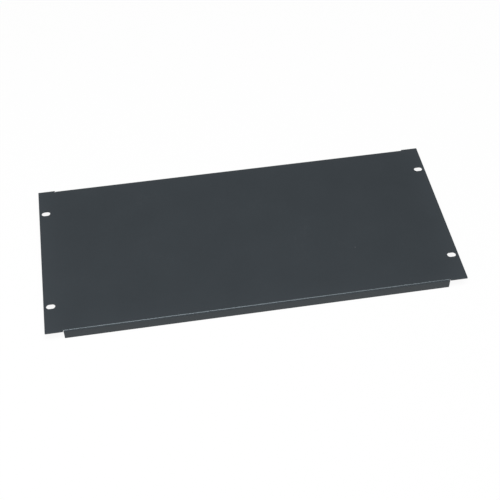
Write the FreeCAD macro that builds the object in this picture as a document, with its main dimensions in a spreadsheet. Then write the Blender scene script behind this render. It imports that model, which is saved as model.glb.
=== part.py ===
import FreeCAD, Part
import math
import os
import Sketcher

# A blanking panel for a 19 inch equipment rack, folded from one sheet of steel.
# It lies face up, as it rests on a bench: the front of its face looks up (+Z), its
# width runs along X, its upper edge in the rack is at +Y, and the free edges of its
# two flanges stand at Z = 0. X = 0 and Y = 0 are its lines of symmetry.

NODE = "blanking_panel"

# Driving sizes in millimetres, apart from the number of rack units
SIZES = {
    "rack_units": (5, "rack units that the panel covers"),
    "unit_pitch": (44.45, "height of one rack unit"),
    "panel_gap": (0.79, "clearance left to the panels above and below, in all"),
    "panel_width": (481.2, "width over the ears, cut a little under the full 19 inches"),
    "ear_width": (20.6, "from the panel's end to the end of its flanges"),
    "flange_depth": (12.7, "from the front of the face to the flanges' free edges"),
    "sheet_thickness": (1.5, "steel sheet"),
    "bend_radius": (0.8, "inside radius of the two folds"),
    "relief_width": (0.4, "slit cut at each end of a fold"),
    "relief_beyond_bend": (0.3, "how far the slit runs past the bend line"),
    "slot_width": (7.1, "mounting slot, across"),
    "slot_play": (3.2, "how much longer than wide a mounting slot is"),
    "slot_to_end": (8.05, "slot centre from the panel's end"),
    "slot_to_unit": (38.1, "slot centre from the outer limit of its rack unit"),
    "corner_radius": (0.5, "rounding of the blank's corners, seen square on"),
    "edge_break": (0.15, "chamfer that breaks every cut edge, front and back"),
}

# What follows from the driving sizes, as the sketches and features use it
HALF_UNITS = "Sizes.rack_units * Sizes.unit_pitch / 2"
HALF_HEIGHT = f"({HALF_UNITS} - Sizes.panel_gap / 2)"
HALF_WIDTH = "Sizes.panel_width / 2"
HALF_FLANGE = f"({HALF_WIDTH} - Sizes.ear_width)"
FACE_BACK = "Sizes.flange_depth - Sizes.sheet_thickness"
OUTER_BEND = "Sizes.bend_radius + Sizes.sheet_thickness"
RELIEF_DEPTH = f"{OUTER_BEND} + Sizes.relief_beyond_bend"
SLOT_X = f"{HALF_WIDTH} - Sizes.slot_to_end"
SLOT_Y = f"{HALF_UNITS} - Sizes.slot_to_unit"

# The chamfer is no wider than the narrow walls beside the slits let it be
EDGE_BREAK = "min(Sizes.edge_break; Sizes.relief_width / 3; Sizes.relief_beyond_bend / 2)"

# Which point of a sketch line or arc a constraint means, and the sketch's own axes
START, END, CENTRE = range(1, 4)
H_AXIS, V_AXIS = -1, -2


def size_sheet(doc):
    """The spreadsheet that drives the model: a note, then the number under its alias."""
    sheet = doc.addObject("Spreadsheet::Sheet", "Sizes")
    for row, (name, (number, note)) in enumerate(SIZES.items(), 1):
        sheet.set(f"A{row}", note)
        sheet.set(f"B{row}", str(number))
        sheet.setAlias(f"B{row}", name)
    doc.recompute()


def value(thing, expression):
    """What an expression on the sheet's sizes comes to now, in millimetres."""
    return float(thing.evalExpression(expression))


def origin_plane(body, role):
    return next(f for f in body.Origin.OriginFeatures if f.Role == role)


def new_sketch(body, name, role):
    sketch = body.newObject("Sketcher::SketchObject", name)
    sketch.AttachmentSupport = [(origin_plane(body, role), "")]
    sketch.MapMode = "FlatFace"
    return sketch


def line(sketch, start, end):
    return sketch.addGeometry(Part.LineSegment(FreeCAD.Vector(*start), FreeCAD.Vector(*end)))


def arc(sketch, centre, radius, first, last):
    """An arc that runs counterclockwise between two angles, in degrees."""
    circle = Part.Circle(FreeCAD.Vector(*centre), FreeCAD.Vector(0, 0, 1), radius)
    angles = math.radians(first), math.radians(last)
    return sketch.addGeometry(Part.ArcOfCircle(circle, *angles))


def constrain(sketch, kind, *where):
    return sketch.addConstraint(Sketcher.Constraint(kind, *where))


def dimension(sketch, name, expression, kind, *where):
    """A named dimension that the sheet's sizes drive."""
    index = constrain(sketch, kind, *where, value(sketch, expression))
    sketch.renameConstraint(index, name)
    sketch.setExpression(f"Constraints.{name}", expression)


def folded_section(body):
    """The sheet's section across the folds: the face, two bends and two flanges."""
    sketch = new_sketch(body, "FoldedSection", "YZ_Plane")
    half = value(body, HALF_HEIGHT)
    inner = value(body, "Sizes.bend_radius")
    outer = value(body, OUTER_BEND)
    front_level = value(body, "Sizes.flange_depth")
    back_level = value(body, FACE_BACK)
    centre = front_level - outer
    inside = half - outer + inner
    flat = half - outer

    low_outside = line(sketch, (-half, 0), (-half, centre))
    low_bend = arc(sketch, (-flat, centre), outer, 90, 180)
    front = line(sketch, (-flat, front_level), (flat, front_level))
    high_bend = arc(sketch, (flat, centre), outer, 0, 90)
    high_outside = line(sketch, (half, centre), (half, 0))
    high_rim = line(sketch, (half, 0), (inside, 0))
    high_inside = line(sketch, (inside, 0), (inside, centre))
    high_inner_bend = arc(sketch, (flat, centre), inner, 0, 90)
    back = line(sketch, (flat, back_level), (-flat, back_level))
    low_inner_bend = arc(sketch, (-flat, centre), inner, 90, 180)
    low_inside = line(sketch, (-inside, centre), (-inside, 0))
    low_rim = line(sketch, (-inside, 0), (-half, 0))

    # Each bend runs smoothly into the face and into its flange
    constrain(sketch, "Tangent", low_outside, END, low_bend, END)
    constrain(sketch, "Tangent", low_bend, START, front, START)
    constrain(sketch, "Tangent", front, END, high_bend, END)
    constrain(sketch, "Tangent", high_bend, START, high_outside, START)
    constrain(sketch, "Tangent", high_inside, END, high_inner_bend, START)
    constrain(sketch, "Tangent", high_inner_bend, END, back, START)
    constrain(sketch, "Tangent", back, END, low_inner_bend, START)
    constrain(sketch, "Tangent", low_inner_bend, END, low_inside, START)

    # The rims close the outline square across the sheet
    constrain(sketch, "Coincident", high_outside, END, high_rim, START)
    constrain(sketch, "Coincident", high_rim, END, high_inside, START)
    constrain(sketch, "Coincident", low_inside, END, low_rim, START)
    constrain(sketch, "Coincident", low_rim, END, low_outside, START)
    for level in (front, back, low_rim, high_rim):
        constrain(sketch, "Horizontal", level)
    for upright in (low_outside, high_outside, low_inside, high_inside):
        constrain(sketch, "Vertical", upright)

    # One thickness and one bend radius all along the sheet, alike on both sides
    constrain(sketch, "Coincident", high_bend, CENTRE, high_inner_bend, CENTRE)
    constrain(sketch, "Coincident", low_bend, CENTRE, low_inner_bend, CENTRE)
    constrain(sketch, "Equal", high_inner_bend, low_inner_bend)
    constrain(sketch, "Symmetric", low_outside, START, high_outside, END, V_AXIS)
    constrain(sketch, "PointOnObject", low_outside, START, H_AXIS)

    dimension(sketch, "height", f"2 * {HALF_HEIGHT}",
              "DistanceX", low_outside, START, high_outside, END)
    dimension(sketch, "depth", "Sizes.flange_depth",
              "DistanceY", H_AXIS, START, front, START)
    dimension(sketch, "thickness", "Sizes.sheet_thickness",
              "DistanceX", high_rim, END, high_rim, START)
    dimension(sketch, "inner_bend", "Sizes.bend_radius",
              "Radius", high_inner_bend)
    return sketch


def ear_outline(body):
    """The right-hand ear, seen from the front, with a slit beside each end of the flanges."""
    sketch = new_sketch(body, "EarOutline", "XY_Plane")
    sketch.setExpression("AttachmentOffset.Base.z", FACE_BACK)
    top = value(body, HALF_HEIGHT)
    end = value(body, HALF_WIDTH)
    root = value(body, HALF_FLANGE)
    shoulder = root + value(body, "Sizes.relief_width")
    slit_end = top - value(body, RELIEF_DEPTH)

    corners = [
        (root, -slit_end), (shoulder, -slit_end), (shoulder, -top), (end, -top),
        (end, top), (shoulder, top), (shoulder, slit_end), (root, slit_end),
    ]
    sides = [line(sketch, *ends) for ends in zip(corners, corners[1:] + corners[:1])]
    low_slit, low_wall, low_edge, panel_end, high_edge, high_wall, high_slit, join = sides

    for this, following in zip(sides, sides[1:] + sides[:1]):
        constrain(sketch, "Coincident", this, END, following, START)
    for level in (low_slit, low_edge, high_edge, high_slit):
        constrain(sketch, "Horizontal", level)
    for upright in (low_wall, panel_end, high_wall, join):
        constrain(sketch, "Vertical", upright)
    constrain(sketch, "Symmetric", low_wall, END, high_wall, START, H_AXIS)
    constrain(sketch, "Equal", low_wall, high_wall)

    dimension(sketch, "root", HALF_FLANGE,
              "DistanceX", H_AXIS, START, low_slit, START)
    dimension(sketch, "width", "Sizes.ear_width",
              "DistanceX", low_slit, START, panel_end, START)
    dimension(sketch, "slit_width", "Sizes.relief_width",
              "DistanceX", low_slit, START, low_slit, END)
    dimension(sketch, "slit_depth", RELIEF_DEPTH,
              "DistanceY", low_wall, END, low_wall, START)
    dimension(sketch, "height", f"2 * {HALF_HEIGHT}",
              "DistanceY", panel_end, START, panel_end, END)
    return sketch


def slot_outline(sketch, left, right, level, radius):
    """A round-ended slot along X. Returns its two end arcs and its upper side."""
    left_end = arc(sketch, (left, level), radius, 90, 270)
    right_end = arc(sketch, (right, level), radius, -90, 90)
    upper = line(sketch, (left, level + radius), (right, level + radius))
    lower = line(sketch, (left, level - radius), (right, level - radius))
    constrain(sketch, "Tangent", left_end, START, upper, START)
    constrain(sketch, "Tangent", upper, END, right_end, END)
    constrain(sketch, "Tangent", right_end, START, lower, END)
    constrain(sketch, "Tangent", lower, START, left_end, END)
    constrain(sketch, "Equal", left_end, right_end)
    return left_end, right_end, upper


def ear_slots(body):
    """The upper and the lower mounting slot of the right-hand ear."""
    sketch = new_sketch(body, "EarSlots", "XY_Plane")
    radius = value(body, "Sizes.slot_width / 2")
    play = value(body, "Sizes.slot_play")
    left = value(body, SLOT_X) - play / 2
    right = left + play
    level = value(body, SLOT_Y)

    high_left, high_right, high_side = slot_outline(sketch, left, right, level, radius)
    low_left, low_right, low_side = slot_outline(sketch, left, right, -level, radius)
    constrain(sketch, "Horizontal", high_side)
    constrain(sketch, "Equal", high_left, low_left)
    constrain(sketch, "Symmetric", low_left, CENTRE, high_left, CENTRE, H_AXIS)
    constrain(sketch, "Symmetric", low_right, CENTRE, high_right, CENTRE, H_AXIS)

    dimension(sketch, "end_radius", "Sizes.slot_width / 2",
              "Radius", high_left)
    dimension(sketch, "play", "Sizes.slot_play",
              "DistanceX", high_left, CENTRE, high_right, CENTRE)
    dimension(sketch, "left_centre", f"{SLOT_X} - Sizes.slot_play / 2",
              "DistanceX", H_AXIS, START, high_left, CENTRE)
    dimension(sketch, "level", SLOT_Y,
              "DistanceY", H_AXIS, START, high_left, CENTRE)
    return sketch


def corner_edges(body, shape):
    """The edges through the sheet at the panel's four corners and the flanges' four."""
    width = value(body, HALF_WIDTH)
    height = value(body, HALF_HEIGHT)
    flange = value(body, HALF_FLANGE)

    def near(distance, target):
        return math.isclose(abs(distance), target, abs_tol=0.001)

    names = []
    for number, edge in enumerate(shape.Edges, 1):
        middle = edge.CenterOfMass
        through_ear = near(middle.x, width) and near(middle.y, height)
        through_flange = near(middle.x, flange) and near(middle.z, 0)
        if through_ear or through_flange:
            names.append(f"Edge{number}")
    return names


def blanking_panel(doc):
    """The whole panel: folded sheet, ears, slots, rounded corners and broken edges."""
    body = doc.addObject("PartDesign::Body", "Panel")
    body.Label = NODE
    body.Placement = FreeCAD.Placement(FreeCAD.Vector(0, 0, 0), FreeCAD.Rotation())

    section = folded_section(body)
    folded = body.newObject("PartDesign::Pad", "FoldedSheet")
    folded.Profile = section
    folded.Midplane = True
    folded.setExpression("Length", f"2 * {HALF_FLANGE}")

    outline = ear_outline(body)
    ear = body.newObject("PartDesign::Pad", "Ear")
    ear.Profile = outline
    ear.setExpression("Length", "Sizes.sheet_thickness")

    # The sketch of the slots lies below the ear, so they are cut upwards
    pair = ear_slots(body)
    slots = body.newObject("PartDesign::Pocket", "Slots")
    slots.Profile = pair
    slots.Type = "ThroughAll"
    slots.Reversed = True
    doc.recompute()
    if not slots.Shape.Volume < ear.Shape.Volume:
        raise RuntimeError("the slots cut nothing out of the ear")

    both_ears = body.newObject("PartDesign::Mirrored", "BothEars")
    both_ears.Originals = [ear, slots]
    both_ears.MirrorPlane = (origin_plane(body, "YZ_Plane"), [""])
    body.Tip = both_ears
    doc.recompute()

    corners = body.newObject("PartDesign::Fillet", "RoundedCorners")
    corners.Base = (both_ears, corner_edges(body, both_ears.Shape))
    corners.setExpression("Radius", "Sizes.corner_radius")
    doc.recompute()

    edges = body.newObject("PartDesign::Chamfer", "BrokenEdges")
    edges.Base = (corners, [""])
    edges.UseAllEdges = True
    edges.setExpression("Size", EDGE_BREAK)
    body.Tip = edges
    doc.recompute()
    return body


def check(doc, pieces):
    """Stop before anything is written if a feature failed or a solid is not sound."""
    for thing in doc.Objects:
        if "Invalid" in thing.State or "Error" in thing.State:
            raise RuntimeError(f"{thing.Name} did not build: {thing.State}")
    for piece in pieces:
        shape = piece.Shape
        if shape.isNull() or not shape.isValid() or len(shape.Solids) != 1:
            raise RuntimeError(f"{piece.Label} is not one sound solid")


document = FreeCAD.newDocument("BlankingPanel")
size_sheet(document)
panel = blanking_panel(document)
check(document, [panel])

os.makedirs("parts", exist_ok=True)
panel.Shape.exportStep(os.path.join("parts", f"{panel.Label}.step"))
box = panel.Shape.BoundBox
print(f"{panel.Label}: {box.XLength:.2f} x {box.YLength:.2f} x {box.ZLength:.2f} mm")
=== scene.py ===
import bpy
import math
from mathutils import Matrix, Vector

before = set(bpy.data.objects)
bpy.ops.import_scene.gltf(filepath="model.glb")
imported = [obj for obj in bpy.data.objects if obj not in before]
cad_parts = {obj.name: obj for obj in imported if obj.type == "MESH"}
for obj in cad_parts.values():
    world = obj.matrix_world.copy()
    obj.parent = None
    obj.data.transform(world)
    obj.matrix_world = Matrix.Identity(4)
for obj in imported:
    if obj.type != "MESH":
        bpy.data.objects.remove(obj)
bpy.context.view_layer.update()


# The panel is one sheet of steel, cut and punched flat, then folded back along its two
# long edges. A dark slate powder coat covers it all over. Four rack screws through the
# slots of its ears hold it to the rails, and here it lies face up on its flanges.
SAME_POINT = 0.000001
WIDEST_FACE_LEADS = 100

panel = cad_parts["blanking_panel"]

# Corners that lie in one place become one point, and the widest face beside it leads how
# it shades. So a fold shades as one curve, and a broken edge as the small rounding that
# the coat leaves on it.
skin = panel.modifiers.new("one_skin", "WELD")
skin.merge_threshold = SAME_POINT
folds = panel.modifiers.new("smooth_folds", "WEIGHTED_NORMAL")
folds.mode = "FACE_AREA"
folds.weight = WIDEST_FACE_LEADS


class Wire:
    """An output of a shader node. Sums, differences and products of wires add Math nodes."""

    def __init__(self, tree, socket=None):
        self.tree = tree
        self.socket = socket

    def node(self, kind, settings=None, sockets=None, output=None):
        """Add a node: its settings first, then the values or links of its sockets."""
        made = self.tree.nodes.new(kind)
        for name, setting in (settings or {}).items():
            setattr(made, name, setting)
        ready = [socket for socket in made.inputs if socket.enabled]
        for key, value in (sockets or {}).items():
            target = ready[key] if isinstance(key, int) else made.inputs[key]
            if isinstance(value, Wire):
                self.tree.links.new(value.socket, target)
            else:
                target.default_value = value
        if output:
            return Wire(self.tree, made.outputs[output])
        shown = [socket for socket in made.outputs if socket.enabled]
        return Wire(self.tree, shown[0] if shown else None)

    def maths(self, operation, *values):
        return self.node("ShaderNodeMath", {"operation": operation}, dict(enumerate(values)))

    def __add__(self, other):
        return self.maths("ADD", self, other)

    __radd__ = __add__

    def __mul__(self, other):
        return self.maths("MULTIPLY", self, other)

    __rmul__ = __mul__

    def __sub__(self, other):
        return self.maths("SUBTRACT", self, other)

    def __rsub__(self, other):
        return self.maths("SUBTRACT", other, self)

    def noise(self, size, detail=2.0):
        """A cloudy value from about -0.5 to 0.5 whose lumps measure the given size in metres."""
        value = self.node("ShaderNodeTexNoise", {}, {
            "Vector": self,
            "Scale": 1 / size,
            "Detail": detail,
        }, "Fac")
        return value - 0.5

    def along(self, axis):
        """How far this place lies from the panel's middle along an axis, either way."""
        part = self.node("ShaderNodeSeparateXYZ", {}, {"Vector": self}, axis)
        return self.maths("ABSOLUTE", part)

    def distance_to(self, point):
        """How far this place lies from a point."""
        return self.node("ShaderNodeVectorMath", {"operation": "DISTANCE"}, {0: self, 1: point})

    def ramp(self, start, end):
        """Goes from 0 at the start to 1 at the end, and keeps to that range."""
        return self.node("ShaderNodeMapRange", {}, {
            "Value": self,
            "From Min": start,
            "From Max": end,
        })

    def blend(self, first, second):
        """The first colour where this wire is 0, and the second where it is 1."""
        return self.node("ShaderNodeMix", {"data_type": "RGBA"}, {
            0: self,
            1: first,
            2: second,
        })


def new_shader(owner):
    """An empty node tree for a material or world, as a wire that nodes are added from."""
    owner.use_nodes = True
    owner.node_tree.nodes.clear()
    return Wire(owner.node_tree)


# The powder coat: cured grains that flow into a fine, even pebble over a slight wave of
# orange peel, with a soft sheen and pigment a shade uneven from grain to grain. Towards the
# ends and the folds it is painted a little paler, as painted light. One fleck of dust has set in
# it.
GRAIN_SIZE = 0.00045
PEEL_SIZE = 0.0024
PEEL_DETAIL = 1.0
CLOUD_SIZE = 0.045
EDGE_BAND = 0.045
SLATE_DEEP = (0.0284, 0.0333, 0.0376, 1)
SLATE_PALE = (0.0527, 0.0619, 0.0699, 1)
MIDDLE_SHADE = 0.5
GRAIN_SHADE = 0.9
CLOUD_SHADE = 0.2
# How much paler the coat is painted at the ends and at the folds: painted light, not powder.
END_PAINTED_LIGHT = 0.24
FOLD_PAINTED_LIGHT = 0.11
SHEEN_ROUGHNESS = 0.25
GRAIN_ROUGHNESS = 0.08
CLOUD_ROUGHNESS = 0.06
SHEEN_LEVEL = 0.41
SHEEN_TINT = (0.79, 0.92, 1.0, 1)
PEBBLE_HEIGHT = 0.00002
PEEL_SHARE = 1.5
FLECK_PLACE = (0.1243, -0.0432, panel.dimensions.z)
FLECK_RADIUS = 0.0008
FLECK_COLOUR = (0.115, 0.121, 0.127, 1)

powder_coat = bpy.data.materials.new("powder_coat")
coat = new_shader(powder_coat)
place = coat.node("ShaderNodeTexCoord", output="Object")
grain = place.noise(GRAIN_SIZE)
peel = place.noise(PEEL_SIZE, detail=PEEL_DETAIL)
cloud = place.noise(CLOUD_SIZE)

half_width = panel.dimensions.x / 2
half_height = panel.dimensions.y / 2
# Painted light: towards the ends and the folds the coat is painted paler, standing in for the
# glow of the bright surroundings at the edges.
near_end = place.along("X").ramp(half_width - EDGE_BAND, half_width)
near_fold = place.along("Y").ramp(half_height - EDGE_BAND, half_height)
painted_edge_light = END_PAINTED_LIGHT * near_end * near_end + FOLD_PAINTED_LIGHT * near_fold * near_fold

shade_of_slate = MIDDLE_SHADE + GRAIN_SHADE * grain + CLOUD_SHADE * cloud + painted_edge_light
slate = shade_of_slate.blend(SLATE_DEEP, SLATE_PALE)
fleck = place.distance_to(FLECK_PLACE).ramp(FLECK_RADIUS, FLECK_RADIUS / 2)
colour = fleck.blend(slate, FLECK_COLOUR)
roughness = SHEEN_ROUGHNESS + GRAIN_ROUGHNESS * grain + CLOUD_ROUGHNESS * cloud
pebble = coat.node("ShaderNodeBump", {}, {
    "Strength": 1.0,
    "Distance": PEBBLE_HEIGHT,
    "Height": grain + PEEL_SHARE * peel,
})
surface = coat.node("ShaderNodeBsdfPrincipled", {}, {
    "Base Color": colour,
    "Roughness": roughness,
    "Specular IOR Level": SHEEN_LEVEL,
    "Specular Tint": SHEEN_TINT,
    "Normal": pebble,
})
coat.node("ShaderNodeOutputMaterial", {}, {"Surface": surface})
panel.data.materials.clear()
panel.data.materials.append(powder_coat)


# The floor is a wide sheet of card that curves up into a low wall all round. It is seen as
# white, with the faint shadow of the panel on it, but it throws light back as grey card
# does, so that little reaches the flanges from below.
FLOOR_RADIUS = 3.0
SWEEP_RADIUS = 0.8
WALL_HEIGHT = 1.6
ROUND_STEPS = 96
SWEEP_STEPS = 12
WHITE_SHARE = 0.94
CARD_PALE = 0.9
CARD_GREY = 0.2

profile = [(FLOOR_RADIUS / 2, 0.0), (FLOOR_RADIUS, 0.0)]
for step in range(1, SWEEP_STEPS + 1):
    turn = step / SWEEP_STEPS * math.pi / 2
    profile.append((FLOOR_RADIUS + SWEEP_RADIUS * math.sin(turn),
                    SWEEP_RADIUS * (1 - math.cos(turn))))
profile.append((FLOOR_RADIUS + SWEEP_RADIUS, WALL_HEIGHT))

points = []
for radius, level in profile:
    for step in range(ROUND_STEPS):
        turn = step / ROUND_STEPS * 2 * math.pi
        points.append((radius * math.cos(turn), radius * math.sin(turn), level))
faces = [list(range(ROUND_STEPS))]
for ring in range(len(profile) - 1):
    for step in range(ROUND_STEPS):
        here = ring * ROUND_STEPS + step
        beside = ring * ROUND_STEPS + (step + 1) % ROUND_STEPS
        faces.append([beside, here, here + ROUND_STEPS, beside + ROUND_STEPS])
card_mesh = bpy.data.meshes.new("white_card")
card_mesh.from_pydata(points, [], faces)
card_mesh.shade_smooth()
card = bpy.data.objects.new("white_card", card_mesh)
bpy.context.scene.collection.objects.link(card)

white_card = bpy.data.materials.new("white_card")
paper = new_shader(white_card)
camera_ray = paper.node("ShaderNodeLightPath", output="Is Camera Ray")
glossy_ray = paper.node("ShaderNodeLightPath", output="Is Glossy Ray")
through_ray = paper.node("ShaderNodeLightPath", output="Is Transmission Ray")
seen = camera_ray + glossy_ray + through_ray
grey = paper.node("ShaderNodeBsdfDiffuse", {}, {"Color": (CARD_GREY, CARD_GREY, CARD_GREY, 1)})
pale = paper.node("ShaderNodeBsdfDiffuse", {}, {"Color": (CARD_PALE, CARD_PALE, CARD_PALE, 1)})
white = paper.node("ShaderNodeEmission", {}, {"Color": (1, 1, 1, 1), "Strength": 1.0})
seen_card = paper.node("ShaderNodeMixShader", {}, {0: WHITE_SHARE, 1: pale, 2: white})
card_surface = paper.node("ShaderNodeMixShader", {}, {0: seen, 1: grey, 2: seen_card})
paper.node("ShaderNodeOutputMaterial", {}, {"Surface": card_surface})
card_mesh.materials.append(white_card)


# The light is a large soft box high overhead, a little to the front, with a small one
# above the left-hand end that lifts that side, and a dim studio round them.
KEY_WATTS = 129.0
KEY_WIDTH = 2.1
KEY_LENGTH = 2.5
KEY_PLACE = (0.6, -0.86, 3.91)
FILL_WATTS = 5.2
FILL_WIDTH = 0.5
FILL_LENGTH = 0.6
FILL_PLACE = (-0.34, -0.28, 1.1)
STUDIO_LEVEL = 0.06


def soft_box(name, watts, width, length, spot):
    """An even rectangle of light that faces the panel from the given spot."""
    light = bpy.data.lights.new(name, "AREA")
    light.shape = "RECTANGLE"
    light.size = width
    light.size_y = length
    light.energy = watts
    box = bpy.data.objects.new(name, light)
    box.location = spot
    box.rotation_euler = (-Vector(spot)).to_track_quat("-Z", "Y").to_euler()
    bpy.context.scene.collection.objects.link(box)


soft_box("key", KEY_WATTS, KEY_WIDTH, KEY_LENGTH, KEY_PLACE)
soft_box("fill", FILL_WATTS, FILL_WIDTH, FILL_LENGTH, FILL_PLACE)

studio = bpy.data.worlds.new("studio")
bpy.context.scene.world = studio
room = new_shader(studio)
glow = room.node("ShaderNodeBackground", {}, {"Color": (1, 1, 1, 1), "Strength": STUDIO_LEVEL})
room.node("ShaderNodeOutputWorld", {}, {"Surface": glow})


# The camera looks down on the panel from the front, a little to its left, as the
# photographer's did.
LENS = 76.123
SENSOR = 36.0
AZIMUTH = math.radians(-9.044)
ELEVATION = math.radians(48.048)
ROLL = math.radians(-0.483)
DISTANCE = 1.240456
AIM = Vector((0.001683, -0.026784, 0.0127))

away = Vector((
    math.sin(AZIMUTH) * math.cos(ELEVATION),
    -math.cos(AZIMUTH) * math.cos(ELEVATION),
    math.sin(ELEVATION),
))
level_right = (-away).cross(Vector((0, 0, 1))).normalized()
level_up = level_right.cross(-away)
right = math.cos(ROLL) * level_right + math.sin(ROLL) * level_up
up = -math.sin(ROLL) * level_right + math.cos(ROLL) * level_up
facing = Matrix((right, up, away)).transposed().to_4x4()
view = bpy.data.cameras.new("camera")
view.lens = LENS
view.sensor_width = SENSOR
camera = bpy.data.objects.new("camera", view)
camera.matrix_world = Matrix.Translation(AIM + away * DISTANCE) @ facing
bpy.context.scene.collection.objects.link(camera)
bpy.context.scene.camera = camera
bpy.context.scene.view_settings.view_transform = "Standard"
